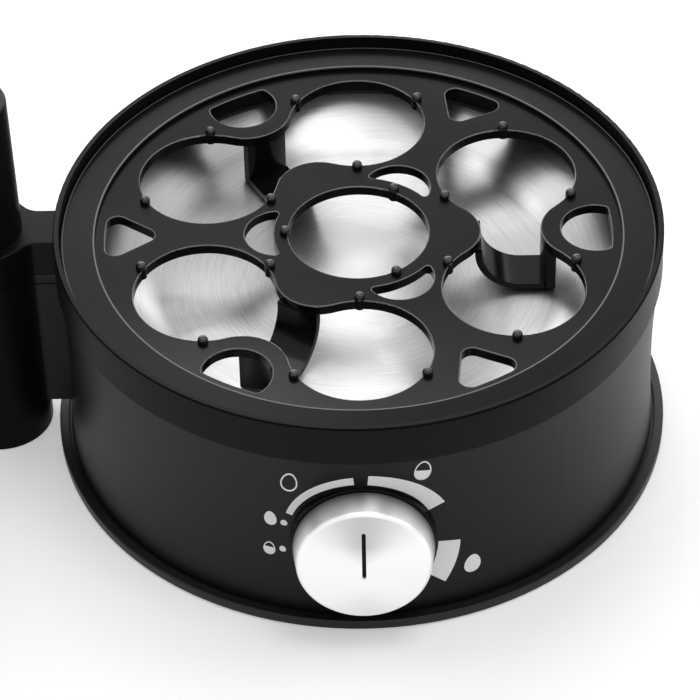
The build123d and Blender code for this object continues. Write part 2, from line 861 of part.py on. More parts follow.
with BuildPart() as cord_gland:
    with BuildSketch(Plane.XZ.offset(-drum_bore - overcut / 2)):
        with Locations((0, gland_z)):
            Circle(gland_flange)
    extrude(amount=overcut)
    add(drum_skin.part, mode=Mode.SUBTRACT)
    gland_face = drum_waist_radius + gland_flange_thickness + gland_bulge
    split(bisect_by=Plane.XZ.offset(-gland_face), keep=Keep.TOP)
    with BuildSketch(Plane.XZ.offset(-drum_waist_radius - gland_flange_thickness)):
        with Locations((0, gland_z)):
            Circle(gland_radius)
    extrude(amount=gland_flange_thickness + drum_waist_radius - drum_bore + 4)
    with BuildSketch(Plane.XZ.offset(-drum_bore - overcut)):
        with Locations((0, gland_z)):
            Circle(gland_bore)
    extrude(amount=2 * overcut, mode=Mode.SUBTRACT)

with BuildPart() as terminal_block:
    with BuildSketch(Plane.XY.offset(floor_top)):
        with Locations((0, block_y)):
            Rectangle(block_length, block_width)
    extrude(amount=block_height)
    chamfer(edges().group_by(Axis.Z)[-1], 2 * edge_break)
    with BuildSketch(Plane.XY.offset(floor_top + block_height)):
        with Locations((0, block_y)):
            with GridLocations(block_length / 3, 0, 3, 1):
                Circle(terminal_radius)
    extrude(amount=-block_height / 2, mode=Mode.SUBTRACT)

# Lid post: the rod slides and turns in a bush in the column

with BuildPart() as column_cover:
    with BuildSketch(Plane.XY.offset(plinth_foot)):
        with Locations((post_x, 0)):
            Circle(column_bore - assembly_gap)
    extrude(amount=pan_floor)
    with BuildSketch(Plane.XY.offset(plinth_foot)):
        with Locations((post_x, 0)):
            Circle(foot_radius + assembly_gap)
    extrude(amount=foot_height - plinth_foot, mode=Mode.SUBTRACT)

with BuildPart() as rod_bush:
    with BuildSketch(Plane.XY.offset(cap_top - bush_length)):
        with Locations((post_x, 0)):
            Circle(bush_flange_radius)
    extrude(amount=bush_flange)
    with BuildSketch(Plane.XY.offset(cap_top - bush_length)):
        with Locations((post_x, 0)):
            Circle(bush_radius)
    extrude(amount=bush_length - edge_break)
    with BuildSketch(Plane.XY.offset(cap_top - bush_length)):
        with Locations((post_x, 0)):
            Circle(rod_radius + running_gap)
    extrude(amount=bush_length, mode=Mode.SUBTRACT)

with BuildPart() as lift_rod:
    with BuildSketch(Plane.XY.offset(rod_foot)):
        with Locations((post_x, 0)):
            Circle(rod_radius)
    extrude(amount=rod_top - rod_foot)
    chamfer(edges().group_by(Axis.Z)[0], edge_break)

with BuildPart() as rod_guide:
    with BuildSketch(Plane.XY.offset(rod_foot + 1)):
        with Locations((post_x, 0)):
            Circle(column_bore - seat_gap)
            Circle(rod_radius + running_gap, mode=Mode.SUBTRACT)
    extrude(amount=guide_height)

with BuildPart() as rod_screw:
    with BuildSketch(Plane(origin=(post_x, 0, 0), x_dir=(1, 0, 0), z_dir=(0, -1, 0))):
        outline(
            (0, rod_top),
            (washer_radius, rod_top),
            (washer_radius, rod_top + washer_thickness),
            (rod_radius, rod_top + washer_thickness),
            (rod_radius, rod_top + washer_thickness + screw_head_height),
            (0, rod_top + washer_thickness + screw_head_height),
        )
    revolve(axis=Axis((post_x, 0, 0), (0, 0, 1)))

# Lid, swung open


def hood_section(inset):
    """Half section of the hood as a solid, with every surface moved in by inset."""
    wall_x = hood_radius - inset
    bend = hood_shoulder - inset
    crown_radius = hood_radius - hood_shoulder
    with BuildLine() as edge:
        Line((wall_x, hood_foot), (wall_x, hood_wall_top))
        arc = CenterArc((crown_radius, hood_wall_top), bend, 0, 90)
        crown = ThreePointArc(
            arc @ 1,
            (crown_radius / 2, hood_wall_top + bend + half_way_rise(crown_radius, hood_crown)),
            (0, hood_wall_top + bend + hood_crown),
        )
        Polyline(crown @ 1, (0, hood_foot), (wall_x, hood_foot))
    make_face(edge.edges())


lid_plane = Plane(origin=(lid_x, 0, 0), x_dir=(1, 0, 0), z_dir=(0, -1, 0))
lid_axis = Axis((lid_x, 0, 0), (0, 0, 1))

with BuildPart() as lid_hood:
    with BuildSketch(lid_plane):
        hood_section(0)
    revolve(axis=lid_axis)
    with BuildSketch(lid_plane):
        hood_section(hood_sheet)
    revolve(axis=lid_axis, mode=Mode.SUBTRACT)
    with BuildSketch(Plane.XY.offset(hood_wall_top)):
        with Locations((lid_x, 0)):
            Circle(handle_screw_radius + assembly_gap)
            with PolarLocations(vent_ring, vents, start_angle=30):
                Circle(vent_radius)
    extrude(amount=hood_shoulder + hood_crown + 1, mode=Mode.SUBTRACT)
    with BuildSketch(Plane.YZ.offset(lid_x + hood_radius - 5)):
        with Locations(*[(0, z) for z in rivet_heights]):
            Circle(rivet_radius + skin_gap)
    extrude(amount=10, mode=Mode.SUBTRACT)

with BuildPart() as lid_rim:
    slot_inner = hood_radius - hood_sheet - skin_gap
    slot_outer = hood_radius + skin_gap
    with BuildSketch(lid_plane):
        outline(
            (lid_rim_radius - lid_rim_wall, lid_foot),
            (lid_rim_radius, lid_foot),
            (lid_rim_radius, lid_foot + lid_rim_height),
            (slot_outer, lid_foot + lid_rim_height),
            (slot_outer, hood_foot - skin_gap),
            (slot_inner, hood_foot - skin_gap),
            (slot_inner, lid_foot + lid_rim_height - 1),
            (lid_rim_radius - lid_rim_wall, lid_foot + lid_rim_height - 1),
        )
    revolve(axis=lid_axis)

with BuildPart() as lid_arm:
    with BuildSketch(Plane.XY.offset(barrel_foot)):
        with Locations((post_x, 0)):
            Circle(barrel_radius)
    extrude(amount=barrel_height, taper=barrel_draft)
    fillet(edges().group_by(Axis.Z)[-1], cap_round)
    with BuildSketch(Plane.XY.offset(lid_arm_foot)):
        with Locations((post_x, 0)):
            Circle(barrel_radius - cap_round)
        with Locations(((post_x + lid_x + hood_radius) / 2 - 4, 0)):
            Rectangle(post_x - lid_x - hood_radius + 8, neck_width)
        fillet([v for v in vertices() if v.X > lid_x + hood_radius + 1], neck_flare)
    extrude(amount=lid_arm_top - lid_arm_foot)
    with BuildSketch(Plane.XY.offset(barrel_foot)):
        with Locations((post_x, 0)):
            Circle(rod_radius + running_gap)
    extrude(amount=barrel_height, mode=Mode.SUBTRACT)
    with BuildSketch(Plane.XY.offset(barrel_top)):
        with Locations((post_x, 0)):
            Circle(counterbore_radius)
    extrude(amount=-counterbore_depth, mode=Mode.SUBTRACT)
    with BuildSketch(Plane.XY.offset(barrel_foot)):
        with Locations((lid_x, 0)):
            Circle(hood_radius + skin_gap)
    extrude(amount=barrel_height, mode=Mode.SUBTRACT)
    with BuildSketch(Plane.YZ.offset(lid_x + hood_radius - 2)):
        with Locations(*[(0, z) for z in rivet_heights]):
            Circle(rivet_radius + skin_gap)
    extrude(amount=8, mode=Mode.SUBTRACT)

with BuildPart() as lid_rivets:
    for z in rivet_heights:
        root = lid_x + hood_radius - hood_sheet - skin_gap
        with BuildSketch(Plane(origin=(root, 0, z), x_dir=(0, 1, 0), z_dir=(0, 0, 1))):
            with BuildLine():
                ThreePointArc(
                    (0, rivet_dome),
                    (rivet_head_radius / 2, half_way_rise(rivet_head_radius, rivet_dome)),
                    (rivet_head_radius, 0),
                )
                Polyline(
                    (rivet_head_radius, 0),
                    (rivet_radius, 0),
                    (rivet_radius, -rivet_length),
                    (0, -rivet_length),
                    (0, rivet_dome),
                )
            make_face()
        revolve(axis=Axis((root, 0, z), (1, 0, 0)))

with BuildPart() as barrel_cap:
    with BuildSketch(Plane.XY.offset(barrel_top - barrel_cap_thickness)):
        with Locations((post_x, 0)):
            Circle(counterbore_radius - skin_gap)
    extrude(amount=barrel_cap_thickness)
    chamfer(edges().group_by(Axis.Z)[-1], edge_break)

with BuildPart() as lid_handle:
    with BuildSketch(lid_plane):
        with BuildLine():
            foot_z = hood_top + skin_gap
            top_z = foot_z + handle_height
            rise = Line((handle_neck, foot_z), (handle_neck, foot_z + 5))
            flare = TangentArc(rise @ 1, (handle_radius, top_z - handle_side), tangent=rise % 1)
            corner_x = handle_radius - handle_corner
            crown = CenterArc((corner_x, top_z - handle_corner), handle_corner, 0, 90)
            Line(flare @ 1, crown @ 0)
            Polyline(crown @ 1, (0, top_z), (0, foot_z), (handle_neck, foot_z))
        make_face()
    revolve(axis=lid_axis)
    with BuildSketch(Plane.XY.offset(foot_z)):
        with Locations((lid_x, 0)):
            Circle(handle_screw_radius + skin_gap)
    extrude(amount=handle_height / 2 + 0.5, mode=Mode.SUBTRACT)

with BuildPart() as handle_screw:
    with BuildSketch(lid_plane):
        under = hood_top - hood_sheet - skin_gap
        outline(
            (0, under - 2.6),
            (2 * handle_screw_radius, under - 2.6),
            (2 * handle_screw_radius, under),
            (handle_screw_radius, under),
            (handle_screw_radius, foot_z + handle_height / 2),
            (0, foot_z + handle_height / 2),
        )
    revolve(axis=lid_axis)

pieces = {
    "base_pan": base_pan,
    "housing_shell": housing_shell,
    "collar_ring": collar_ring,
    "rubber_feet": rubber_feet,
    "housing_screws": housing_screws,
    "egg_tray": egg_tray,
    "heating_dish": heating_dish,
    "dish_seal": dish_seal,
    "heat_spreader": heat_spreader,
    "heater_nuts": heater_nuts,
    "heating_element": heating_element,
    "element_pins": element_pins,
    "thermostat": thermostat,
    "thermal_fuse": thermal_fuse,
    "knob_bezel": knob_bezel,
    "knob": knob,
    "knob_pointer": knob_pointer,
    "control_shaft": control_shaft,
    "rotary_control": rotary_control,
    "control_board": control_board,
    "buzzer": buzzer,
    "cord_gland": cord_gland,
    "terminal_block": terminal_block,
    "column_cover": column_cover,
    "rod_bush": rod_bush,
    "lift_rod": lift_rod,
    "rod_guide": rod_guide,
    "rod_screw": rod_screw,
    "lid_hood": lid_hood,
    "lid_rim": lid_rim,
    "lid_arm": lid_arm,
    "lid_rivets": lid_rivets,
    "barrel_cap": barrel_cap,
    "lid_handle": lid_handle,
    "handle_screw": handle_screw,
}
for name, piece in pieces.items():
    placed = Pos(-post_x, 0, 0) * piece.part
    placed.label = name
    export_step(placed, f"parts/{name}.step")
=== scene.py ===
import json
import math

import bmesh
import bpy
from mathutils import Matrix, Vector


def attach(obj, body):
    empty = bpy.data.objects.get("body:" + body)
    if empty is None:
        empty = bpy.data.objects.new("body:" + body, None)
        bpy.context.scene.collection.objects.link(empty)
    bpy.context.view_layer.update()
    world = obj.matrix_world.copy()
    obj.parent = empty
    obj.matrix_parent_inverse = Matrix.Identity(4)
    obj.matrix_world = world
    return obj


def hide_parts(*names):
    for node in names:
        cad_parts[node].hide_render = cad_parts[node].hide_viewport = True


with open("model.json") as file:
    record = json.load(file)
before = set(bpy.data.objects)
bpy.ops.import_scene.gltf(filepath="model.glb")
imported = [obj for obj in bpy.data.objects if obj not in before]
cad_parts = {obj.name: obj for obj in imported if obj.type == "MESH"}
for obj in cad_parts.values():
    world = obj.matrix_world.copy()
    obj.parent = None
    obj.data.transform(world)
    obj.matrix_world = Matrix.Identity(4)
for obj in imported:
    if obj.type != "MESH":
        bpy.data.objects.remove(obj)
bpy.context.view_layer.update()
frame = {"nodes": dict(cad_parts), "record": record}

NODES = frame["nodes"]
RECORD = frame["record"]
BODY_OF = {n: body for body, members in RECORD["behaviour"]["bodies"].items() for n in members}
SCENE = bpy.context.scene

# Places, in metres: the drum and the open lid stand on either side of the post
DRUM_X = 0.1145
LID_X = -0.1145
DRUM_AXIS = (DRUM_X, 0, 0)
LID_AXIS = (LID_X, 0, 0)
POST_SIDE = DRUM_X - 0.0985

# Camera: 3253 px focal length in a 700 px picture, about a metre away and 42 degrees up
SENSOR = 0.036
FOCAL_PIXELS = 3252.623
PICTURE_PIXELS = 700
CAMERA_DISTANCE = 1.019611
CAMERA_ELEVATION = math.radians(42.443)
CAMERA_YAW = math.radians(-0.183)
CAMERA_ROLL = math.radians(-1.002)
TARGET_HEIGHT = 0.025419

# Studio: the surround's light on the object, the floor's colour and how far it is lifted to white
SURROUND_LIGHT = 0.45
FLOOR_GREY = 0.82
FLOOR_LIFT = 0.33
FLOOR_HALF = 3.0
LAMP_TARGET = (DRUM_X, 0, 0.05)

# The drum's waisted wall is one arc about this height and distance from the drum's axis
WALL_ARC_X = 0.4870819
WALL_ARC_Z = 0.0368443
WALL_ARC_RADIUS = 0.3965115
DRUM_WAIST = 0.0906

# Knob: its middle on the wall, its axis into the wall, and the depths between which painted shade
# darkens its side towards the wall
KNOB_Z = 0.033
KNOB_TILT = math.radians(5.1)
KNOB_AXIS = (0, math.cos(KNOB_TILT), -math.sin(KNOB_TILT))
KNOB_PAINTED_SHADE_DEPTHS = (0.0035, 0.0105)

# Heights on the drum: where the housing meets the collar, and the foot of the rim's rounding
PARTING_Z = 0.0652
RIM_ROUND_FOOT = 0.0787
RIM_SIDE = 0.0919

# Tray: its disc, the step up to its flange, the flange's face and its outer edge
TRAY_DISC_UNDER = 0.0706
TRAY_DISC_TOP = 0.07415
TRAY_STEP = 0.08
TRAY_DISC_EDGE = TRAY_STEP - 0.001
TRAY_FLANGE_FACE = 0.0751
TRAY_BRIM = 0.0898
STUD_FOOT = TRAY_DISC_TOP + 0.0002

# Specular levels of the black plastics, and those of their duller places
BODY_GLOSS = 0.18
COLLAR_GLOSS = 0.083
PAN_GLOSS = 0.32
TRAY_GLOSS = 0.18
BEZEL_GLOSS = 0.083
POST_DULL = 0.044
HOLE_WALL_DULL = 0.055
RIM_DULL = 0.022
STUD_GLOSS = 0.6

# Brushed steel: the rings' spacing, their length, and where the brushing fades towards the middle
RING_SPACING = 0.00034
RING_SWEEP = 3.0
SMOOTH_MIDDLE = (0.006, 0.026)

# Print on the wall: where its bands are centred, in millimetres along and up the wall,
# how far it is sunk and how thick it is
MM = 0.001
SCALE_MIDDLE = (-0.7, 33.9)
PRINT_SUNK = -0.00002
PRINT_THICKNESS = 0.00006
PRINT_COLUMNS = 48

MERGE_DISTANCE = 2e-6
FLAT_ANGLE = math.radians(0.4)
SHARP_ANGLE = math.radians(30)


def place_camera():
    data = bpy.data.cameras.new("product_camera")
    data.sensor_width = SENSOR * 1000
    data.sensor_fit = "HORIZONTAL"
    data.lens = FOCAL_PIXELS / PICTURE_PIXELS * SENSOR * 1000
    data.clip_start = 0.05
    data.clip_end = 20
    camera = bpy.data.objects.new("product_camera", data)
    SCENE.collection.objects.link(camera)
    level, lift = math.cos(CAMERA_ELEVATION), math.sin(CAMERA_ELEVATION)
    ahead = Vector((0, level, -lift))
    right = Vector((1, 0, 0))
    up = right.cross(ahead)
    ahead, right = (
        ahead * math.cos(CAMERA_YAW) + right * math.sin(CAMERA_YAW),
        right * math.cos(CAMERA_YAW) - ahead * math.sin(CAMERA_YAW),
    )
    right, up = (
        right * math.cos(CAMERA_ROLL) + up * math.sin(CAMERA_ROLL),
        up * math.cos(CAMERA_ROLL) - right * math.sin(CAMERA_ROLL),
    )
    turn = Matrix((right, up, -ahead)).transposed().to_4x4()
    height = TARGET_HEIGHT + CAMERA_DISTANCE * lift
    place = Vector((DRUM_X, -CAMERA_DISTANCE * level, height))
    camera.matrix_world = Matrix.Translation(place) @ turn
    SCENE.camera = camera


# Light and floor


def soft_box(name, place, size, watts):
    data = bpy.data.lights.new(name, "AREA")
    data.shape = "RECTANGLE"
    data.size, data.size_y = size
    data.energy = watts
    lamp = bpy.data.objects.new(name, data)
    SCENE.collection.objects.link(lamp)
    aim = (Vector(LAMP_TARGET) - Vector(place)).to_track_quat("-Z", "Y")
    lamp.matrix_world = Matrix.Translation(place) @ aim.to_matrix().to_4x4()


def seen_rays(tree):
    """1 for camera, mirror and glass rays, which meet the white studio, and 0 for the rest."""
    path = tree.nodes.new("ShaderNodeLightPath")
    seen = path.outputs["Is Camera Ray"]
    for kind in ("Is Glossy Ray", "Is Transmission Ray"):
        either = tree.nodes.new("ShaderNodeMath")
        either.operation = "MAXIMUM"
        tree.links.new(seen, either.inputs[0])
        tree.links.new(path.outputs[kind], either.inputs[1])
        seen = either.outputs[0]
    return seen


def white_surround():
    world = bpy.data.worlds.new("studio_surround")
    SCENE.world = world
    world.use_nodes = True
    tree = world.node_tree
    tree.nodes.clear()
    out = tree.nodes.new("ShaderNodeOutputWorld")
    mix = tree.nodes.new("ShaderNodeMixShader")
    for i, strength in ((1, SURROUND_LIGHT), (2, 1.0)):
        white = tree.nodes.new("ShaderNodeBackground")
        white.inputs["Color"].default_value = (1, 1, 1, 1)
        white.inputs["Strength"].default_value = strength
        tree.links.new(white.outputs["Background"], mix.inputs[i])
    tree.links.new(seen_rays(tree), mix.inputs["Fac"])
    tree.links.new(mix.outputs["Shader"], out.inputs["Surface"])


def lay_floor():
    mesh = bpy.data.meshes.new("studio_floor")
    bm = bmesh.new()
    bmesh.ops.create_grid(bm, x_segments=1, y_segments=1, size=FLOOR_HALF)
    bm.to_mesh(mesh)
    bm.free()
    floor = bpy.data.objects.new("studio_floor", mesh)
    SCENE.collection.objects.link(floor)
    finish = bpy.data.materials.new("floor_white")
    finish.use_nodes = True
    tree = finish.node_tree
    shader = tree.nodes["Principled BSDF"]
    shader.inputs["Base Color"].default_value = (FLOOR_GREY, FLOOR_GREY, FLOOR_GREY, 1)
    shader.inputs["Roughness"].default_value = 0.9
    shader.inputs["Specular IOR Level"].default_value = 0.0
    shader.inputs["Emission Color"].default_value = (1, 1, 1, 1)
    lift = tree.nodes.new("ShaderNodeMath")
    lift.operation = "MULTIPLY"
    lift.inputs[1].default_value = FLOOR_LIFT
    tree.links.new(seen_rays(tree), lift.inputs[0])
    tree.links.new(lift.outputs[0], shader.inputs["Emission Strength"])
    mesh.materials.append(finish)


# Finishes


class Finish:
    """A procedural material: a Principled shader with patterns read from Object coordinates."""

    def __init__(self, name, color, roughness, metallic=0.0, specular=0.5):
        self.material = bpy.data.materials.new(name)
        self.material.use_nodes = True
        self.tree = self.material.node_tree
        self.shader = self.tree.nodes["Principled BSDF"]
        self.set("Base Color", (*color, 1))
        self.set("Roughness", roughness)
        self.set("Metallic", metallic)
        self.set("Specular IOR Level", specular)
        self.place = self.node("ShaderNodeTexCoord").outputs["Object"]

    def set(self, socket, value):
        self.shader.inputs[socket].default_value = value

    def node(self, kind, **settings):
        made = self.tree.nodes.new(kind)
        for key, value in settings.items():
            setattr(made, key, value)
        return made

    def link(self, source, target):
        self.tree.links.new(source, target)

    def drive(self, source, socket):
        self.link(source, self.shader.inputs[socket])

    def usual(self, socket):
        """What drives the shader's socket so far."""
        return self.shader.inputs[socket].links[0].from_socket

    def fill(self, made, values):
        """Sets or links the first inputs of a node."""
        for i, value in enumerate(values):
            if isinstance(value, (int, float)):
                made.inputs[i].default_value = value
            else:
                self.link(value, made.inputs[i])

    def math(self, operation, *values):
        made = self.node("ShaderNodeMath", operation=operation)
        self.fill(made, values)
        return made.outputs[0]

    def both(self, first, second):
        return self.math("MULTIPLY", first, second)

    def either(self, first, second):
        return self.math("MAXIMUM", first, second)

    def over(self, value, limit):
        return self.math("GREATER_THAN", value, limit)

    def under(self, value, limit):
        return self.math("LESS_THAN", value, limit)

    def near(self, value, middle, reach):
        return self.math("COMPARE", value, middle, reach)

    def joined(self, *values):
        made = self.node("ShaderNodeCombineXYZ")
        self.fill(made, values)
        return made.outputs["Vector"]

    def split(self, vector):
        made = self.node("ShaderNodeSeparateXYZ")
        self.link(vector, made.inputs["Vector"])
        return made.outputs

    def centred(self, centre):
        made = self.node("ShaderNodeVectorMath", operation="SUBTRACT")
        self.link(self.place, made.inputs[0])
        made.inputs[1].default_value = centre
        return made.outputs["Vector"]

    def along(self, vector, axis):
        made = self.node("ShaderNodeVectorMath", operation="DOT_PRODUCT")
        self.link(vector, made.inputs[0])
        made.inputs[1].default_value = axis
        return made.outputs["Value"]

    def facing(self):
        return self.node("ShaderNodeTexCoord").outputs["Normal"]

    def flatness(self):
        """1 where the surface lies level, 0 where it stands upright."""
        return self.math("ABSOLUTE", self.split(self.facing())[2])

    def upright(self):
        """1 where the surface stands upright, 0 where it lies flat."""
        return self.spread(self.flatness(), 1, 0, 0.45, 0.75)

    def rounded(self):
        """1 on rounded edges, which are neither level nor upright."""
        level = self.flatness()
        return self.both(
            self.spread(level, 1, 0, 0.95, 0.992), self.spread(level, 0, 1, 0.3, 0.55)
        )

    def radius(self, centre):
        """The distance from an upright axis through centre."""
        x, y, z = self.split(self.centred(centre))
        return self.math("SQRT", self.math("ADD", self.both(x, x), self.both(y, y)))

    def spread(self, value, low, high, start=0.0, end=1.0):
        made = self.node("ShaderNodeMapRange")
        self.fill(made, (value, start, end, low, high))
        return made.outputs["Result"]

    def noise(self, vector, scale, detail=2.0, roughness=0.5):
        made = self.node("ShaderNodeTexNoise")
        made.inputs["Scale"].default_value = scale
        made.inputs["Detail"].default_value = detail
        made.inputs["Roughness"].default_value = roughness
        self.link(vector, made.inputs["Vector"])
        return made.outputs["Fac"]

    def tint(self, factor, first, second):
        """Colours the surface from first, a colour or a socket, to second."""
        made = self.node("ShaderNodeMix", data_type="RGBA")
        start, end = [s for s in made.inputs if s.type == "RGBA"]
        if isinstance(first, tuple):
            start.default_value = (*first, 1)
        else:
            self.link(first, start)
        end.default_value = (*second, 1)
        self.link(factor, made.inputs["Factor"])
        self.drive([s for s in made.outputs if s.type == "RGBA"][0], "Base Color")

    def paint_highlight(self, where, lightness):
        """A painted highlight: a lighter grey where the mask is 1."""
        self.tint(where, self.usual("Base Color"), (lightness, lightness, lightness))

    def dull(self, where, usual, dulled):
        """Gloss at its usual specular level, and at the dulled one where the mask is 1."""
        self.drive(self.spread(where, usual, dulled), "Specular IOR Level")

    def bump(self, height, strength, distance):
        made = self.node("ShaderNodeBump")
        made.inputs["Strength"].default_value = strength
        made.inputs["Distance"].default_value = distance
        self.link(height, made.inputs["Height"])
        self.drive(made.outputs["Normal"], "Normal")

    def grain_round(self, centre, axis):
        """The direction of brushing in circles round an axis, as the shader's tangent."""
        made = self.node("ShaderNodeVectorMath", operation="CROSS_PRODUCT")
        made.inputs[0].default_value = axis
        self.link(self.centred(centre), made.inputs[1])
        unit = self.node("ShaderNodeVectorMath", operation="NORMALIZE")
        self.link(made.outputs["Vector"], unit.inputs[0])
        self.drive(unit.outputs["Vector"], "Tangent")
        self.set("Anisotropic Rotation", 0.25)

    def rings(self, centre):
        """Fine streaks that run in circles round an upright axis: a noise squeezed across them."""
        x, y, z = self.split(self.centred(centre))
        radius = self.radius(centre)
        across = self.both(self.math("ADD", radius, z), 1 / RING_SPACING)
        return self.joined(
            across,
            self.both(self.math("DIVIDE", x, radius), RING_SWEEP),
            self.both(self.math("DIVIDE", y, radius), RING_SWEEP),
        )


def moulded_plastic(name, color, roughness, grain, grain_depth, specular=0.5):
    """Moulded plastic with a fine spark-eroded grain and slightly uneven gloss."""
    finish = Finish(name, color, roughness, specular=specular)
    fine = finish.noise(finish.place, grain, detail=3.0)
    broad = finish.noise(finish.place, 35.0)
    finish.drive(finish.spread(broad, roughness - 0.035, roughness + 0.035), "Roughness")
    finish.tint(broad, color, tuple(min(1.0, c * 1.25 + 0.001) for c in color))
    finish.bump(fine, 0.25, grain_depth)
    return finish


def ring_brushed(name, color, roughness, centre, anisotropy):
    """Steel brushed in circles round an upright axis, fading to spun smooth in the middle."""
    finish = Finish(name, color, roughness, metallic=1.0)
    finish.grain_round(centre, (0, 0, 1))
    finish.set("Anisotropic", anisotropy)
    middle = finish.spread(finish.radius(centre), 1, 0, *SMOOTH_MIDDLE)
    finish.drive(finish.spread(middle, anisotropy, 0.1), "Anisotropic")
    fine = finish.noise(finish.rings(centre), 1.0, detail=3.0, roughness=0.7)
    uneven = finish.spread(fine, roughness - 0.04, roughness + 0.04, 0.3, 0.7)
    finish.drive(finish.math("ADD", uneven, finish.both(middle, 0.12)), "Roughness")
    light = finish.either(finish.spread(fine, 0, 1, 0.35, 0.65), middle)
    finish.tint(light, tuple(c * 0.76 for c in color), color)
    finish.bump(fine, 0.02, 0.00001)
    return finish


def turned_chrome_with_painted_light(name, color, centre, axis):
    """Bright metal turned about an axis: a finely turned face and a satin side, with painted shade
    on the side near the wall and painted reflection as darker wedges on the face.
    """
    finish = Finish(name, color, 0.3, metallic=1.0)
    finish.grain_round(centre, axis)
    finish.set("Anisotropic", 0.8)
    face = finish.math("ABSOLUTE", finish.along(finish.facing(), axis))
    finish.drive(finish.spread(face, 0.45, 0.27, 0.2, 0.9), "Roughness")
    away = finish.centred(centre)
    reach = finish.both(finish.along(away, axis), -1)
    # Painted shade: the side's colour darkens towards the wall
    painted_shade = finish.spread(reach, 0.12, 1, *KNOB_PAINTED_SHADE_DEPTHS)
    # The turned face: painted reflection, as darker wedges above and below its middle
    x, y, z = finish.split(away)
    square = finish.math("ADD", finish.both(x, x), finish.both(z, z))
    wedge = finish.math("DIVIDE", finish.both(z, z), finish.math("ADD", square, 1e-6))
    above = finish.spread(z, 0, 0.42, 0.001, 0.009)
    below = finish.spread(z, 0.2, 0, -0.018, -0.006)
    dark = finish.both(finish.math("POWER", wedge, 2.0), finish.math("ADD", above, below))
    dark = finish.both(dark, finish.spread(face, 0, 1, 0.9, 0.99))
    # The painted shade and the painted reflection darken the base colour
    finish.tint(finish.both(painted_shade, finish.math("SUBTRACT", 1, dark)), (0, 0, 0), color)
    finish.bump(finish.noise(finish.place, 2500.0), 0.02, 0.000005)
    return finish


def plain_metal(name, color, roughness):
    finish = Finish(name, color, roughness, metallic=1.0)
    cloud = finish.noise(finish.place, 120.0, detail=4.0)
    finish.drive(finish.spread(cloud, roughness - 0.05, roughness + 0.08), "Roughness")
    finish.bump(cloud, 0.05, 0.00005)
    return finish


def on_post(finish):
    """1 on the upright sides of the lid's post."""
    return finish.both(finish.under(finish.split(finish.place)[0], POST_SIDE), finish.upright())


def tray_plastic():
    """Glossy black with dull hole walls, painted highlights on its rounded edges and in lines at
    the step and the brim, and glinting studs.
    """
    finish = moulded_plastic(
        "tray_black", (0.0028, 0.0028, 0.0028), 0.2, 1500.0, 0.000006, TRAY_GLOSS
    )
    x, y, z = finish.split(finish.place)
    reach = finish.radius(DRUM_AXIS)
    above_legs = finish.over(z, TRAY_DISC_UNDER)
    on_flange = finish.over(reach, TRAY_DISC_EDGE)
    on_studs = finish.both(finish.over(z, STUD_FOOT), finish.under(reach, TRAY_DISC_EDGE))

    # Painted highlights: a lighter grey on the rounded edges of the holes and the flange, and in
    # thin lines at the step and the brim
    edges = finish.either(finish.under(z, TRAY_DISC_TOP), on_flange)
    edges = finish.both(finish.rounded(), finish.both(above_legs, edges))
    step_highlight = finish.near(reach, TRAY_STEP + 0.0002, 0.00025)
    brim_highlight = finish.both(finish.near(reach, TRAY_BRIM, 0.0003), 0.55)
    lines = finish.both(finish.either(step_highlight, brim_highlight), finish.over(z, TRAY_FLANGE_FACE))
    finish.paint_highlight(finish.either(edges, lines), 0.16)

    # The flange is duller and the disc glossier towards the front
    gloss = finish.spread(
        finish.both(above_legs, finish.upright()), TRAY_GLOSS, HOLE_WALL_DULL
    )
    flange_share = finish.both(on_flange, finish.spread(y, 0.65, 1.45, -0.09, 0.09))
    disc_share = finish.both(
        finish.math("SUBTRACT", 1, on_flange), finish.spread(y, 1.7, 0.92, -0.072, -0.03)
    )
    gloss = finish.both(gloss, finish.math("ADD", flange_share, disc_share))
    finish.drive(finish.either(gloss, finish.both(on_studs, STUD_GLOSS)), "Specular IOR Level")
    smoother = finish.math("SUBTRACT", finish.usual("Roughness"), finish.both(on_studs, 0.08))
    finish.drive(smoother, "Roughness")
    return finish


def collar_plastic():
    """The collar's black, with a dark line where the rim rounds over."""
    finish = moulded_plastic(
        "collar_black", (0.0035, 0.0035, 0.0036), 0.4, 2600.0, 0.00003, COLLAR_GLOSS
    )
    rim_line = finish.both(
        finish.over(finish.split(finish.place)[2], RIM_ROUND_FOOT),
        finish.over(finish.radius(DRUM_AXIS), RIM_SIDE),
    )
    finish.dull(finish.either(rim_line, on_post(finish)), COLLAR_GLOSS, RIM_DULL)
    return finish


def body_plastic():
    """The housing's black, with a painted highlight line along its upper edge, and a duller post.
    """
    finish = moulded_plastic(
        "body_black", (0.0035, 0.0035, 0.0036), 0.42, 2600.0, 0.00003, BODY_GLOSS
    )
    x, y, z = finish.split(finish.place)
    # Painted highlight: a lighter grey line along the housing's upper edge
    finish.paint_highlight(finish.both(finish.near(z, PARTING_Z, 0.00025), finish.over(x, POST_SIDE)), 0.03)
    finish.dull(on_post(finish), BODY_GLOSS, POST_DULL)
    return finish


def pan_plastic():
    finish = moulded_plastic(
        "pan_black", (0.003, 0.003, 0.003), 0.46, 2200.0, 0.00003, PAN_GLOSS
    )
    finish.dull(on_post(finish), PAN_GLOSS, POST_DULL)
    return finish


# Shapes


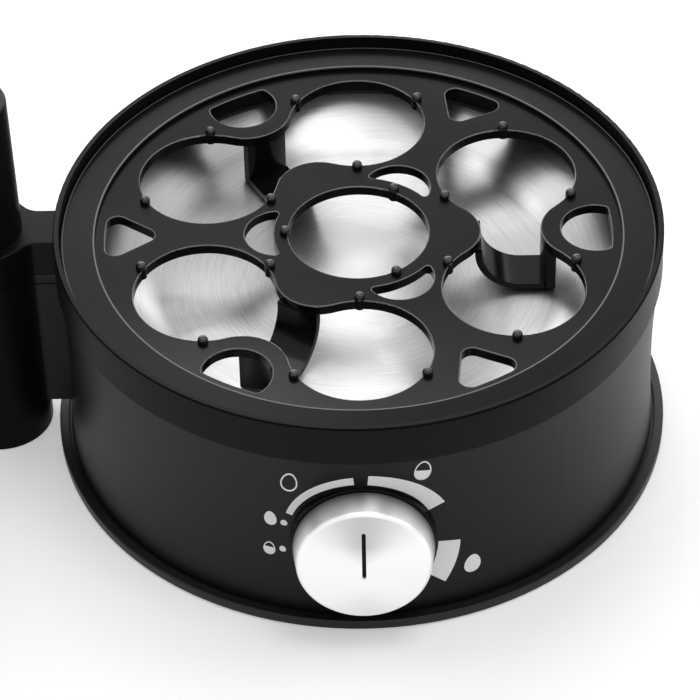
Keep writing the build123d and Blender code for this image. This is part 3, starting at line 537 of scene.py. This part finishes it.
def finished(node, finish, round_edges):
    """A copy of a node with its triangles merged, smooth shading and, if asked, softened edges."""
    bm = bmesh.new()
    bm.from_mesh(NODES[node].data)
    bmesh.ops.remove_doubles(bm, verts=bm.verts, dist=MERGE_DISTANCE)
    if round_edges:
        bmesh.ops.dissolve_limit(bm, angle_limit=FLAT_ANGLE, verts=bm.verts, edges=bm.edges)
    corners = [e for e in bm.edges if e.is_manifold and e.calc_face_angle(0) > SHARP_ANGLE]
    if round_edges:
        bmesh.ops.bevel(
            bm, geom=corners, offset=round_edges, offset_type="OFFSET", affect="EDGES",
            segments=2, profile=0.5, material=-1, clamp_overlap=True,
        )
        corners = []
    for face in bm.faces:
        face.smooth = True
    for edge in corners:
        edge.smooth = False
    mesh = bpy.data.meshes.new(node + "_skin")
    bm.to_mesh(mesh)
    bm.free()
    mesh.materials.append(finish.material)
    piece = bpy.data.objects.new(node + "_skin", mesh)
    SCENE.collection.objects.link(piece)
    weigh = piece.modifiers.new("even_normals", "WEIGHTED_NORMAL")
    weigh.keep_sharp = True
    weigh.mode = "FACE_AREA"
    weigh.weight = 50
    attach(piece, BODY_OF[node])
    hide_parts(node)


# Printed scale round the knob


def patch(columns, rows, place):
    """A flat patch that place lays out, from two shares between 0 and 1 to millimetres."""
    bm = bmesh.new()
    bmesh.ops.create_grid(bm, x_segments=columns, y_segments=rows, size=0.5)
    for vert in bm.verts:
        along, up = place(vert.co.x + 0.5, vert.co.y + 0.5)
        vert.co = (along * MM, up * MM, PRINT_SUNK)
    bmesh.ops.remove_doubles(bm, verts=bm.verts, dist=1e-6)
    return bm


def between(share, table):
    """The value at this share of the way through a table of evenly spaced values."""
    place = share * (len(table) - 1)
    first = min(int(place), len(table) - 2)
    return table[first] + (table[first + 1] - table[first]) * (place - first)


def band(start, end, inner, outer):
    """Part of a ring round the knob, its angles clockwise from the top, its radii in tables."""
    middle_x, middle_z = SCALE_MIDDLE

    def place(share, across):
        angle = math.radians(start + (end - start) * share)
        near, far = between(share, inner), between(share, outer)
        radius = near + (far - near) * across
        return middle_x + radius * math.sin(angle), middle_z + radius * math.cos(angle)

    return patch(PRINT_COLUMNS, 4, place)


def egg(centre, width, height, core=0.0, lean=0.0, fill=None):
    """An egg, its outline where core is the share left open, or its part below the line fill."""

    def place(share, across):
        turn = 2 * math.pi * share
        size = core + (1 - core) * across
        x = size * width / 2 * math.sin(turn) * (1 - 0.14 * math.cos(turn))
        return x, size * height / 2 * math.cos(turn)

    bm = patch(PRINT_COLUMNS, 6, place)
    if fill is not None:
        bmesh.ops.bisect_plane(
            bm, geom=bm.verts[:] + bm.edges[:] + bm.faces[:], dist=1e-7,
            plane_co=(0, fill * MM, 0), plane_no=(0, 1, 0), clear_outer=True,
        )
    turned = Matrix.Rotation(math.radians(-lean), 4, "Z")
    shift = Matrix.Translation((centre[0] * MM, centre[1] * MM, 0))
    bmesh.ops.transform(bm, matrix=shift @ turned, verts=bm.verts)
    return bm


def wrap(bm):
    """Thickens flat print and lays it on the wall, X along the wall and Y upwards."""
    grown = bmesh.ops.extrude_face_region(bm, geom=bm.faces[:])
    top = [v for v in grown["geom"] if isinstance(v, bmesh.types.BMVert)]
    bmesh.ops.translate(bm, verts=top, vec=(0, 0, PRINT_THICKNESS))
    for vert in bm.verts:
        along, up, proud = vert.co
        reach = math.sqrt(WALL_ARC_RADIUS**2 - (up - WALL_ARC_Z) ** 2)
        radius = WALL_ARC_X - reach + proud
        angle = along / radius
        vert.co = (DRUM_X + radius * math.sin(angle), -radius * math.cos(angle), up)
    bmesh.ops.recalc_face_normals(bm, faces=bm.faces)


def printed_scale(finish):
    figures = [
        band(-69.3, -4.6, (21.5, 22.4), (23.5, 25.4)),
        band(5.2, 65.0, (22.3, 21.8), (26.1, 27.2)),
        band(101.0, 130.5, (23.2, 23.9, 24.8, 26.2), (30.1, 31.0, 31.9, 32.8)),
        egg((-21.4, 55.3), 5.0, 7.8, core=0.83, lean=8),
        egg((17.4, 60.2), 5.0, 7.9, core=0.85, lean=7),
        egg((17.4, 60.2), 4.9, 7.8, lean=7, fill=0),
        egg((32.8, 17.2), 5.2, 6.9, lean=5),
        egg((-27.5, 38.8), 3.8, 5.6),
        egg((-23.4, 37.9), 2.1, 2.3),
        egg((-28.2, 26.3), 3.7, 5.2, core=0.83, lean=4),
        egg((-28.2, 26.3), 3.6, 5.1, lean=4, fill=0.5),
        egg((-24.1, 27.0), 2.0, 2.35),
    ]
    whole = bmesh.new()
    for bm in figures:
        wrap(bm)
        part = bpy.data.meshes.new("print_figure")
        bm.to_mesh(part)
        bm.free()
        whole.from_mesh(part)
        bpy.data.meshes.remove(part)
    mesh = bpy.data.meshes.new("printed_scale")
    whole.to_mesh(mesh)
    whole.free()
    mesh.materials.append(finish.material)
    piece = bpy.data.objects.new("printed_scale", mesh)
    SCENE.collection.objects.link(piece)
    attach(piece, "base")


place_camera()
white_surround()
lay_floor()
soft_box("overhead_box", (DRUM_X - 0.28, 0.5, 1.3), (0.9, 0.9), 7)
soft_box("front_box", (DRUM_X + 0.25, -0.25, 1.4), (0.5, 0.5), 4)
soft_box("back_panel", (DRUM_X, 1.4, 0.5), (1.8, 0.6), 14)
soft_box("right_box", (DRUM_X + 1.3, 0.2, 0.9), (0.6, 1.0), 2.2)

body_black = body_plastic()
pan_black = pan_plastic()
tray_black = tray_plastic()
collar_black = collar_plastic()
bezel_black = moulded_plastic(
    "bezel_black", (0.002, 0.002, 0.002), 0.35, 1800.0, 0.00001, BEZEL_GLOSS
)
dish_steel = ring_brushed("dish_steel", (0.6, 0.595, 0.59), 0.38, DRUM_AXIS, 0.88)
hood_steel = ring_brushed("hood_steel", (0.42, 0.42, 0.415), 0.38, LID_AXIS, 0.6)
rod_steel = plain_metal("rod_steel", (0.62, 0.62, 0.61), 0.2)
chrome = turned_chrome_with_painted_light(
    "knob_chrome", (0.93, 0.93, 0.935), (DRUM_X, -DRUM_WAIST, KNOB_Z), KNOB_AXIS
)
zinc = plain_metal("zinc_steel", (0.6, 0.6, 0.58), 0.35)
sheath = plain_metal("element_sheath", (0.16, 0.15, 0.14), 0.55)
cast = plain_metal("cast_aluminium", (0.7, 0.7, 0.71), 0.5)
rubber = moulded_plastic("dark_rubber", (0.02, 0.02, 0.02), 0.8, 900.0, 0.00005)
grey_plastic = moulded_plastic("control_plastic", (0.05, 0.05, 0.05), 0.5, 1500.0, 0.00003)
pale_plastic = moulded_plastic("pale_plastic", (0.6, 0.59, 0.55), 0.5, 1500.0, 0.00003)
board = moulded_plastic("board_green", (0.03, 0.14, 0.06), 0.4, 400.0, 0.00002)
print_grey = moulded_plastic("print_grey", (0.95, 0.95, 0.95), 0.55, 3000.0, 0.000005)

# What each node is finished with, and how far its edges are softened, in metres
for finish, round_edges, nodes in (
    (body_black, 0.0002, "housing_shell"),
    (collar_black, 0, "collar_ring"),
    (body_black, 0.0004, "lid_arm"),
    (pan_black, 0.0002, "base_pan"),
    (pan_black, 0, "column_cover"),
    (pan_black, 0.0004, "lid_rim"),
    (pan_black, 0, "barrel_cap lid_handle"),
    (tray_black, 0, "egg_tray"),
    (bezel_black, 0, "knob_bezel knob_pointer"),
    (dish_steel, 0, "heating_dish"),
    (hood_steel, 0, "lid_hood"),
    (rod_steel, 0, "lift_rod control_shaft"),
    (chrome, 0, "knob"),
    (zinc, 0, "housing_screws heater_nuts element_pins rod_screw"),
    (zinc, 0, "lid_rivets handle_screw thermal_fuse"),
    (sheath, 0, "heating_element"),
    (cast, 0, "heat_spreader"),
    (rubber, 0, "rubber_feet dish_seal cord_gland"),
    (grey_plastic, 0, "thermostat rotary_control buzzer"),
    (pale_plastic, 0, "terminal_block rod_bush rod_guide"),
    (board, 0, "control_board"),
):
    for node in nodes.split():
        finished(node, finish, round_edges)
printed_scale(print_grey)

SCENE.view_settings.view_transform = "Standard"
